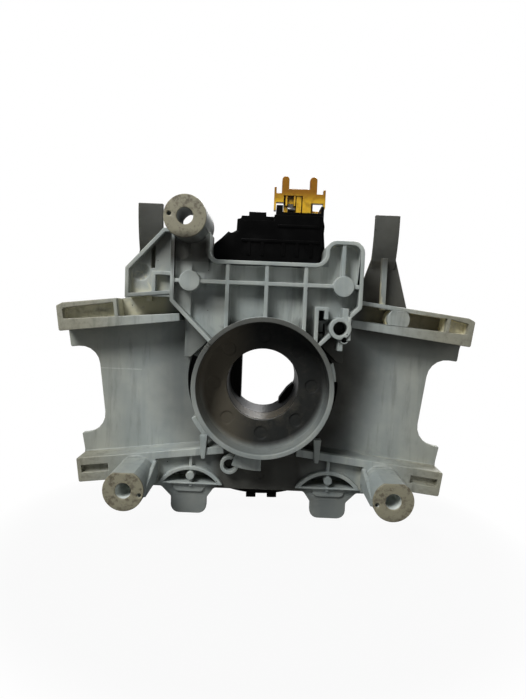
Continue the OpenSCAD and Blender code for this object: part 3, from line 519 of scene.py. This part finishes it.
# %% [markdown]
# The clean colour changes in slow clouds, and in the upright bands in which the melt has flowed
# through the mould. Where two fronts of melt have met across the left wall, they have left a
# pale hairline, the knit line.

# %% Clean nylon
NYLON_CLEAN = linear("#9ba09b")
NYLON_COOL = linear("#7e8787")
KNIT_PALE = linear("#aeb4b0")
KNIT_HEIGHT = 3 * MM


def clean_nylon(tree, at):
    """Clean colour with its clouds, flow bands and knit line."""
    clouded = mixed(tree, both(tree, ramp(tree, at.cloud, 0.3, 0.7), 0.6), NYLON_CLEAN,
                    NYLON_COOL)
    banded = mixed(tree, both(tree, ramp(tree, at.flow, 0.45, 0.65), 0.45), clouded, NYLON_COOL)
    off_line = math_node(tree, "ABSOLUTE", math_node(tree, "SUBTRACT", at.z, KNIT_HEIGHT))
    on_line = both(tree, fall(tree, off_line, 0.1 * MM, 0.35 * MM),
                   fall(tree, at.x, -58 * MM, -55 * MM), ramp(tree, at.mottle, 0.3, 0.5), 0.8)
    return mixed(tree, on_line, banded, KNIT_PALE)


print("knit line at (mm):", round(KNIT_HEIGHT / MM, 1))

# %% [markdown]
# Nylon yellows where light and warm air reach it, here towards the rails' ends and on the faces
# of the screw bosses, which have brown stains as well. The rails' channels are painted a pale
# olive, the right one palest: painted light that lifts the shade of the channels' walls, standing
# in for light that comes through the thin walls. The screw holes and the upper cells of the
# plate are painted a pale grey, which is painted light in the shade of the holes and the rim.

# %% Aged and stained nylon, with painted light
NYLON_YELLOWED = linear("#7d7862")
PAINTED_LIGHT_OLIVE = linear("#c2bfa6")
PAINTED_BRIGHT_OLIVE = linear("#efe9cb")
PAINTED_LIGHT_GREY = linear("#cdd2cd")
STAIN_BROWN = linear("#453c2f")


def aged_nylon(tree, at, clean):
    """The clean colour under age and stains, with painted light in the channels, holes and cells.
    """
    far_out = ramp(tree, at.off_axis, 46 * MM, 84 * MM)
    on_rail = both(tree, far_out, fall(tree, at.y, 26 * MM, 27 * MM))
    age = either(tree, both(tree, far_out, 0.35), both(tree, on_rail, 0.7),
                 both(tree, at.boss_face, 0.9))
    aged = mixed(tree, age, clean, NYLON_YELLOWED)

    # The channels, between the rails' walls: painted light in their shade
    rail_height = both(tree, ramp(tree, at.z, 20 * MM, 26 * MM),
                       fall(tree, at.z, 46 * MM, 50 * MM))
    channel_painted_light = both(tree, at.rails, at.deep_in, at.within,
                   either(tree, both(tree, rail_height, 0.85), 0.25))
    olive_painted_light = mixed(tree, ramp(tree, at.x, 30 * MM, 55 * MM), PAINTED_LIGHT_OLIVE, PAINTED_BRIGHT_OLIVE)
    aged = mixed(tree, channel_painted_light, aged, olive_painted_light)

    # The screw holes, and the cells that the plate's rim surrounds: painted light in their shade
    bore_painted_light = both(tree, at.bore, ramp(tree, at.y, -7.8 * MM, -7 * MM))
    aged = mixed(tree, both(tree, bore_painted_light, 0.85), aged, PAINTED_LIGHT_GREY)
    right_part = both(tree, ramp(tree, at.x, 26 * MM, 27 * MM),
                      fall(tree, at.z, 62.1 * MM, 62.6 * MM))
    in_rim = either(tree, fall(tree, at.z, 52.3 * MM, 52.8 * MM), right_part)
    top_cells_painted_light = both(tree, at.plate, ramp(tree, at.z, 43 * MM, 47 * MM),
                     ramp(tree, at.y, 7 * MM, 9 * MM),
                     fall(tree, at.off_axis, 39.7 * MM, 40.2 * MM), in_rim)
    aged = mixed(tree, both(tree, top_cells_painted_light, 0.55), aged, PAINTED_LIGHT_GREY)

    stain = both(tree, ramp(tree, at.mottle, 0.47, 0.66),
                 either(tree, both(tree, at.boss_face, 0.75), both(tree, on_rail, 0.3)))
    return mixed(tree, stain, aged, STAIN_BROWN)


print("yellowed colour:", [round(v, 3) for v in NYLON_YELLOWED[:3]])

# %% [markdown]
# A brown film of dust and oil has settled where no hand rubs it off: on the apron's tabs, on
# what stands high, on the sides of the upper boss and on the collar's rim, darker towards its
# top. Upright smears run through it where the part was handled. Painted shade and painted shadow
# are laid on in the same brown: under the rails and most under the right one, and in the plate's
# lower left cell. In wide hollows, round the collar and mostly on its right, on the apron under
# the collar and on the column under the upper boss, the brown is both dirt and painted shade.
# Each place has a mask, and the brown is as strong as the strongest of them.

# %% Brown film and painted shade
FILM_AND_SHADE_BROWN = linear("#27231c")
SMEAR = 3.5 * MM
COLUMN_X = -33 * MM


def brown_film_and_shade(tree, at):
    """Mask of the brown film and of the painted shade and shadow laid on in the same brown."""
    # Brown in wide hollows: dirt and painted shade
    hollow_dirt_and_shade = both(tree, ramp(tree, at.hollow, 0.4, 0.85), 0.6)
    # Round the collar, strongest on its right: dirt and painted shadow of the collar
    collar_dirt_and_shadow = both(tree, fall(tree, at.from_axis, 38 * MM, 60 * MM), at.deep_in,
                        between(tree, ramp(tree, at.x, -10 * MM, 20 * MM), 0.58, 1.0))
    # Painted shadow under the rails, strongest under the right one
    shadow_under_rail = both(tree, ramp(tree, at.off_axis, 34 * MM, 44 * MM),
                      ramp(tree, at.z, 10 * MM, 29 * MM), ramp(tree, at.y, 24 * MM, 26 * MM),
                      between(tree, ramp(tree, at.x, 0, 30 * MM), 0.35, 1.0))
    rim_face = both(tree, fall(tree, at.from_axis, 30.2 * MM, 31 * MM),
                    fall(tree, at.y, 2 * MM, 3 * MM),
                    between(tree, ramp(tree, at.z, -15 * MM, 20 * MM), 0.3, 0.9))
    # Painted shade in the plate's lower left cell
    left_cell_shade = both(tree, at.plate, fall(tree, at.x, -18 * MM, -12 * MM),
                     fall(tree, at.z, 38 * MM, 43 * MM), 0.45)
    # On the apron: dirt and painted shadow of the collar
    apron_dirt_and_shadow = both(tree, fall(tree, at.off_axis, 17 * MM, 27 * MM),
                 ramp(tree, at.below, 29 * MM, 34 * MM), at.deep_in)
    tabs = both(tree, ramp(tree, at.below, 48 * MM, 53 * MM), 0.5)
    uprights = both(tree, ramp(tree, at.z, 44 * MM, 60 * MM),
                    ramp(tree, at.y, 13 * MM, 20 * MM), 0.95)
    # On the column under the upper boss: dirt and painted shadow of the boss
    off_column = math_node(tree, "ABSOLUTE", math_node(tree, "SUBTRACT", at.x, COLUMN_X))
    column_dirt_and_shadow = both(tree, fall(tree, off_column, 7.4 * MM, 9.4 * MM),
                  ramp(tree, at.z, 45 * MM, 55 * MM), fall(tree, at.z, 60 * MM, 64 * MM))
    boss_side = both(tree, fall(tree, at.off_boss, 8.6 * MM, 9.4 * MM),
                     except_where(tree, at.boss_face), 0.6)
    smears = both(tree, ramp(tree, noise(tree, at.upright, SMEAR, 5, 0.65), 0.48, 0.72),
                  ramp(tree, at.y, 2 * MM, 8 * MM), 0.28)
    return either(tree, hollow_dirt_and_shade, collar_dirt_and_shadow, shadow_under_rail, rim_face, left_cell_shade, apron_dirt_and_shadow, tabs,
                  uprights, column_dirt_and_shadow, boss_side, smears)


print("smears are this wide (mm):", round(SMEAR / MM, 1))

# %% [markdown]
# Inside the collar lies old grease. It is laid on heaviest on the floor and towards the top and
# thin at the bottom; the dark top is grease and painted shade of the collar's upper wall. Dust
# sticks to it in scuffs, most of all round the shaft's hole. On its left side, in the collar's
# own shade, the colour is lifted to a lighter grey, which is painted light.

# %% Grease, painted shade and painted light in the collar
GREASE = linear("#070605")
GREASE_DUSTY = linear("#2b2720")
GREASE_PAINTED_LIGHT = linear("#5c5547")
SCUFF = 5 * MM


def collar_grease(tree, at):
    """Mask of the collar's inside, cover of its grease and painted shade, and its colour with
    painted light.
    """
    inside = both(tree, fall(tree, at.from_axis, 27.9 * MM, 28.6 * MM),
                  ramp(tree, at.y, 0.2 * MM, 2.5 * MM))
    # Heavier on the floor and towards the top: grease, and at the top also painted shade
    thick_and_shaded = either(tree, ramp(tree, at.y, 11 * MM, 14 * MM), ramp(tree, at.z, -20 * MM, 6 * MM))
    grease_and_shade_cover = both(tree, inside, between(tree, thick_and_shaded, 0.45, 0.95))
    scuff = noise(tree, at.here, SCUFF, 6, 0.7)
    near_hole = both(tree, fall(tree, at.from_axis, 17 * MM, 22 * MM),
                     ramp(tree, at.below, -3 * MM, 9 * MM))
    dusty = either(tree, both(tree, ramp(tree, scuff, 0.5, 0.72), 0.55),
                   both(tree, near_hole, ramp(tree, scuff, 0.38, 0.6), 0.9))
    fresh = mixed(tree, dusty, GREASE, GREASE_DUSTY)
    # Painted light: the left side, in the collar's own shade, is lifted to a lighter grey
    shaded_side_painted_light = both(tree, fall(tree, at.x, -18 * MM, -1 * MM), 0.72)
    return inside, grease_and_shade_cover, mixed(tree, shaded_side_painted_light, fresh, GREASE_PAINTED_LIGHT)


print("scuffs in the grease are this wide (mm):", round(SCUFF / MM, 1))

# %% [markdown]
# The layers are now laid over one another. Unpigmented nylon lets light in a little way, which
# softens its shadows, so the shader has a small share of subsurface light. The surface is half
# matt with a fine grain from the glass fibres just under it, and duller under film and grease.

# %% Natural nylon
GRIME_AND_SHADE = linear("#1f1d19")
SPECK = linear("#1b1a17")
SPECK_CELL = 6 * MM
SPECK_SIZE = 0.045
SPECK_RARITY = 0.72
GRAIN = 0.5 * MM


def natural_nylon():
    """Finish of the switch body."""
    material, tree, shader, here = new_material("natural_glass_filled_nylon", ior=1.53)
    at = nylon_places(tree, here)
    stained = aged_nylon(tree, at, clean_nylon(tree, at))
    film_and_shade = brown_film_and_shade(tree, at)
    filmed_and_shaded = mixed(tree, both(tree, film_and_shade, between(tree, at.cloud, 0.78, 0.98)), stained,
                   FILM_AND_SHADE_BROWN)

    # Grime and painted shade in the narrow recesses, broken up by a fine noise
    packed = both(tree, ramp(tree, at.recess, 0.34, 0.95), between(tree, at.mottle, 0.3, 1.0))
    grimy_and_shaded = mixed(tree, packed, filmed_and_shaded, GRIME_AND_SHADE)
    # The collar's grease, with its painted shade and painted light
    inside, grease_and_shade_cover, grease_and_painted_light = collar_grease(tree, at)
    greasy_and_shaded = mixed(tree, grease_and_shade_cover, grimy_and_shaded, grease_and_painted_light)

    # A few black specks, about half a millimetre across
    cells = add(tree, "ShaderNodeTexVoronoi", values={"Scale": 1 / SPECK_CELL},
                links={"Vector": here}).outputs
    dot = math_node(tree, "LESS_THAN", cells["Distance"], SPECK_SIZE)
    chance = add(tree, "ShaderNodeSeparateColor", links={"Color": cells["Color"]}).outputs[0]
    rare = math_node(tree, "GREATER_THAN", chance, SPECK_RARITY)
    tree.links.new(mixed(tree, both(tree, dot, rare), greasy_and_shaded, SPECK), shader.inputs["Base Color"])

    set_values(shader, {"Subsurface Weight": 0.22, "Subsurface Radius": (1.0, 0.95, 0.75),
                        "Subsurface Scale": 3 * MM})
    dull = either(tree, inside, both(tree, film_and_shade, 0.8))
    tree.links.new(math_node(tree, "ADD", between(tree, at.mottle, 0.42, 0.62),
                             both(tree, dull, 0.12)), shader.inputs["Roughness"])
    tree.links.new(math_node(tree, "SUBTRACT", 0.45, both(tree, dull, 0.32)),
                   shader.inputs["Specular IOR Level"])
    wavy = bump(tree, at.flow, 0.12, 0.5 * MM)
    tree.links.new(bump(tree, noise(tree, here, GRAIN, 2), 0.25, 0.06 * MM, wavy),
                   shader.inputs["Normal"])
    return material


NYLON = natural_nylon()
print(NYLON.name, "is made of", len(NYLON.node_tree.nodes), "nodes")

# %% [markdown]
# ## Black mouldings
#
# The reel, its cover, the rotor and the housing are moulded in a black plastic with a faint
# grain. It gives back so little light that its faces stay nearly black, and only its edges have
# a soft shine. Dust lies on what faces up and packs into the recesses. The cam is made of a
# slippery plastic that was never quite black, and much more dust has stuck to it.

# %% Black plastic
BLACK = linear("#030303")
BLACK_WORN = linear("#080808")
CAM_DARK = linear("#121211")
DUST = linear("#24221e")
CAM_DUST = linear("#5c5444")


def black_plastic(name, colour, dust_share, dust_colour):
    """A black moulding with a soft shine and dust on it."""
    material, tree, shader, here = new_material(name)
    cloud = noise(tree, here, 9 * MM, 4, 0.6)
    fine = noise(tree, here, 0.9 * MM, 4, 0.7)
    plain = mixed(tree, ramp(tree, cloud, 0.4, 0.7), colour, BLACK_WORN)
    up = axes(tree, tree.nodes.new("ShaderNodeNewGeometry").outputs["Normal"])["Z"]
    settled = both(tree, ramp(tree, up, 0.2, 0.95), ramp(tree, fine, 0.35, 0.6))
    packed = both(tree, ramp(tree, stored_map(tree, "recess"), 0.25, 0.6),
                  ramp(tree, fine, 0.45, 0.7))
    dust = both(tree, either(tree, settled, packed), dust_share)
    tree.links.new(mixed(tree, dust, plain, dust_colour), shader.inputs["Base Color"])
    tree.links.new(between(tree, cloud, 0.26, 0.4), shader.inputs["Roughness"])
    set_values(shader, {"Specular IOR Level": 0.1})
    tree.links.new(bump(tree, noise(tree, here, 0.35 * MM, 2), 0.3, 0.05 * MM),
                   shader.inputs["Normal"])
    return material


REEL_BLACK = black_plastic("black_moulded_plastic", BLACK, 0.14, DUST)
CAM_BLACK = black_plastic("dark_low_friction_plastic", CAM_DARK, 0.8, CAM_DUST)
print("black finishes:", REEL_BLACK.name, "and", CAM_BLACK.name)

# %% [markdown]
# ## Amber lock slide
#
# The lock slide is moulded in a clear-tinted amber plastic. Thick parts look brown, thin ones
# look yellow, because light passes through them. The shader lets a little light in under the
# surface and shifts the colour with height, as the prongs at the top are the thicker ones. The
# recess map draws the dark seams where its bars meet, and a thin clear coat gives the gloss.

# %% Amber plastic
AMBER_THIN = linear("#d3a827")
AMBER_THICK = linear("#8a5c08")
AMBER_CLOUD = linear("#6f4507")
AMBER_SEAM = linear("#3a2405")


def amber_plastic():
    """Finish of the lock slide."""
    material, tree, shader, here = new_material("tinted_amber_plastic", 0.32)
    low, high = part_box("lock_slide")
    bars, prongs = (low.z + share * (high.z - low.z) for share in (0.35, 0.66))
    body = mixed(tree, ramp(tree, axes(tree, here)["Z"], bars, prongs), AMBER_THIN, AMBER_THICK)
    cloud = noise(tree, here, 3 * MM, 3)
    clouded = mixed(tree, both(tree, ramp(tree, cloud, 0.45, 0.75), 0.5), body, AMBER_CLOUD)
    seam = both(tree, ramp(tree, stored_map(tree, "recess"), 0.12, 0.5), 0.8)
    tree.links.new(mixed(tree, seam, clouded, AMBER_SEAM), shader.inputs["Base Color"])
    set_values(shader, {"Coat Weight": 0.3, "Coat Roughness": 0.15, "Subsurface Weight": 0.25,
                        "Subsurface Radius": (1.0, 0.5, 0.1), "Subsurface Scale": 1.2 * MM})
    tree.links.new(bump(tree, cloud, 0.15, 0.1 * MM), shader.inputs["Normal"])
    return material


AMBER = amber_plastic()
print(AMBER.name, "is made of", len(AMBER.node_tree.nodes), "nodes")

# %% [markdown]
# ## Metal, film, cable and acetal
#
# The small metal pieces are tinned or plated, and drawn or rolled, so a fine stretched noise in
# their roughness is enough. The flat cable is copper laminated between clear films: its tracks
# run along it, so they show as stripes over its width, which lies along the column.

# %% Finishes of the small pieces
TRACK_PITCH = 1.5 * MM
TRACK_GAP = 0.4
CABLE_FILM = linear("#cdbf96")
CABLE_COPPER = linear("#b4743a")


def rolled_metal(name, colour, dull):
    """Plated or rolled metal, duller where it has been handled."""
    material, tree, shader, here = new_material(name, metallic=1.0)
    drawn = noise(tree, stretched(tree, here, (1, 0.15, 1)), 0.4 * MM, 4, 0.7)
    tree.links.new(mixed(tree, ramp(tree, drawn, 0.4, 0.75), colour, dull),
                   shader.inputs["Base Color"])
    tree.links.new(between(tree, drawn, 0.25, 0.5), shader.inputs["Roughness"])
    return material


def plain_plastic(name, colour, shade, roughness):
    """An unfilled plastic with a faint cloud in its colour."""
    material, tree, shader, here = new_material(name, roughness)
    cloud = noise(tree, here, 5 * MM, 4)
    tree.links.new(mixed(tree, cloud, colour, shade), shader.inputs["Base Color"])
    tree.links.new(bump(tree, noise(tree, here, 0.4 * MM), 0.2, 0.03 * MM),
                   shader.inputs["Normal"])
    return material


def laminated_cable():
    """Copper tracks between clear films."""
    material, tree, shader, here = new_material("laminated_flat_cable", 0.3)
    share = math_node(tree, "FRACT", math_node(tree, "DIVIDE", axes(tree, here)["Y"],
                                               TRACK_PITCH))
    track = math_node(tree, "GREATER_THAN", share, TRACK_GAP)
    tree.links.new(mixed(tree, track, CABLE_FILM, CABLE_COPPER), shader.inputs["Base Color"])
    set_values(shader, {"Coat Weight": 0.6})
    return material


TINNED = rolled_metal("tinned_brass", linear("#a9a698"), linear("#6f6c62"))
SPRING_STEEL = rolled_metal("rolled_spring_steel", linear("#8f8e8b"), linear("#4f4e4c"))
ZINC = rolled_metal("zinc_plated_steel", linear("#a4a6a4"), linear("#75736b"))
ACETAL = plain_plastic("natural_acetal", linear("#dcd9cd"), linear("#cfcabb"), 0.4)
FILM = plain_plastic("slippery_film", linear("#cfc6a8"), linear("#c4ba99"), 0.3)
CABLE = laminated_cable()
print("small finishes:", [m.name for m in (TINNED, SPRING_STEEL, ZINC, ACETAL, FILM, CABLE)])

# %% [markdown]
# ## The finishes go on
#
# The pieces that show get a soft-edged copy with its two maps. Small pieces need fewer rays.
# What lies in the cable chamber or deep in a socket keeps its solid, because nothing but its
# colour can be seen.

# %% Dress the pieces that show
dress("switch_body", NYLON, 0.28 * MM, 3.6 * MM)
dress("reel_base", REEL_BLACK, 0.22 * MM, 4 * MM)
dress("terminal_cover", REEL_BLACK, 0.15 * MM, 3 * MM)
dress("reel_cover", REEL_BLACK, 0.25 * MM, 5 * MM)
dress("rotor", REEL_BLACK, 0.25 * MM, 4 * MM)
dress("cancel_cam", CAM_BLACK, 0.3 * MM, 4 * MM)
dress("lock_slide", AMBER, 0.12 * MM, 3 * MM, rays=FEWER_RAYS)
dress("shorting_clip", SPRING_STEEL, 0.05 * MM, 3 * MM, rays=FEWER_RAYS)
dress("reel_screws", ZINC, 0.15 * MM, 3 * MM, rays=FEWER_RAYS)

# %% Finish the pieces that keep their solid
KEPT = {"slip_sheet": FILM, "roller_carrier": ACETAL, "flat_cable": CABLE,
        "outer_lead_block": REEL_BLACK, "inner_lead_block": REEL_BLACK,
        "rear_pins": TINNED, "front_pins": TINNED}
KEPT.update({f"roller_{i}": ACETAL for i in range(1, 5)})
for node, material in KEPT.items():
    solid = frame["nodes"][node]
    solid.data.materials.clear()
    solid.data.materials.append(material)
print("kept solids:", len(KEPT))

# %% [markdown]
# ## Floor and backdrop
#
# The photograph was cut out on pure white. A floor and a sky stand in for that: what the camera
# sees of them, also through clear plastic, is white. For all other rays the floor is a middle
# grey and the sky is dim, so that black plastic has nothing bright to mirror. Near the part the
# floor keeps a small share of its own shade, and so a faint shadow stays.

# %% Floor and backdrop
FLOOR_GAP = 0.4 * MM
FLOOR_GREY = linear("#6e6e6e")
STAGE_HALF = 3.0
SHADOW_SHARE = 0.06
SHADOW_NEAR = 110 * MM
SHADOW_FAR = 250 * MM
SKY_TINT = linear("#eef1f4")
SKY_STRENGTH = 0.13
WHITE = {"Color": (1, 1, 1, 1), "Strength": 1.0}

floor_z = cad_low.z - FLOOR_GAP


def seen(tree):
    """1 for what the camera sees, straight or through clear plastic, and 0 for other light."""
    rays = tree.nodes.new("ShaderNodeLightPath").outputs
    return either(tree, rays["Is Camera Ray"], rays["Is Transmission Ray"])


def mixed_shader(tree, factor, first, second, output):
    """Sends a mixture of two shaders to the tree's output."""
    mix = add(tree, "ShaderNodeMixShader",
              links={0: factor, 1: first.outputs[0], 2: second.outputs[0]})
    tree.links.new(mix.outputs[0], tree.nodes[output].inputs["Surface"])


def white_stage(name):
    """White to the camera, with a share of its own shade near the part."""
    material, tree, shader, here = new_material(name, 0.9)
    set_values(shader, {"Base Color": FLOOR_GREY})
    glow = add(tree, "ShaderNodeEmission", values=WHITE)
    away = ramp(tree, distance_from(tree, here, ORIGIN), SHADOW_NEAR, SHADOW_FAR)
    share = math_node(tree, "ADD", away, 1 - SHADOW_SHARE, clamp=True)
    mixed_shader(tree, both(tree, seen(tree), share), shader, glow, "Material Output")
    return material


floor_mesh = bpy.data.meshes.new("floor")
floor_mesh.from_pydata([(x * STAGE_HALF, y * STAGE_HALF, floor_z)
                        for x, y in ((-1, -1), (1, -1), (1, 1), (-1, 1))], [], [(0, 1, 2, 3)])
floor_mesh.materials.append(white_stage("white_floor"))
floor = bpy.data.objects.new("floor", floor_mesh)
bpy.context.scene.collection.objects.link(floor)

world = bpy.data.worlds.new("studio")
world.use_nodes = True
bpy.context.scene.world = world
sky = world.node_tree
dim = sky.nodes["Background"]
set_values(dim, {"Color": SKY_TINT, "Strength": SKY_STRENGTH})
mixed_shader(sky, seen(sky), dim, add(sky, "ShaderNodeBackground", values=WHITE), "World Output")
print("floor at (mm):", round(floor_z / MM, 1))

# %% [markdown]
# ## Light
#
# The key light is a large soft lamp above and to the left, as the shadows right of the collar
# and under the rails show, and a weak one from the right fills them. A third lamp stands on the
# far side. It gives the wheel side its light, and the photograph's side only thin bright edges.

# %% Lamps
AIM = Vector((0, 20 * MM, 10 * MM))
LAMPS = {"key": ((-0.46, -0.6, 0.78), 15.2, 0.46),
         "fill": ((0.6, -0.7, 0.1), 1.1, 0.5),
         "back": ((0.2, 0.8, 0.6), 14, 0.5)}

for name, (spot, power, side) in LAMPS.items():
    lamp = bpy.data.lights.new(name, "AREA")
    lamp.energy = power
    lamp.size = side
    holder = bpy.data.objects.new(name, lamp)
    holder.location = spot
    holder.rotation_euler = (AIM - Vector(spot)).to_track_quat("-Z", "Y").to_euler()
    bpy.context.scene.collection.objects.link(holder)
bpy.context.scene.view_settings.view_transform = "Standard"
print("lamps (watts):", {name: power for name, (spot, power, side) in LAMPS.items()})
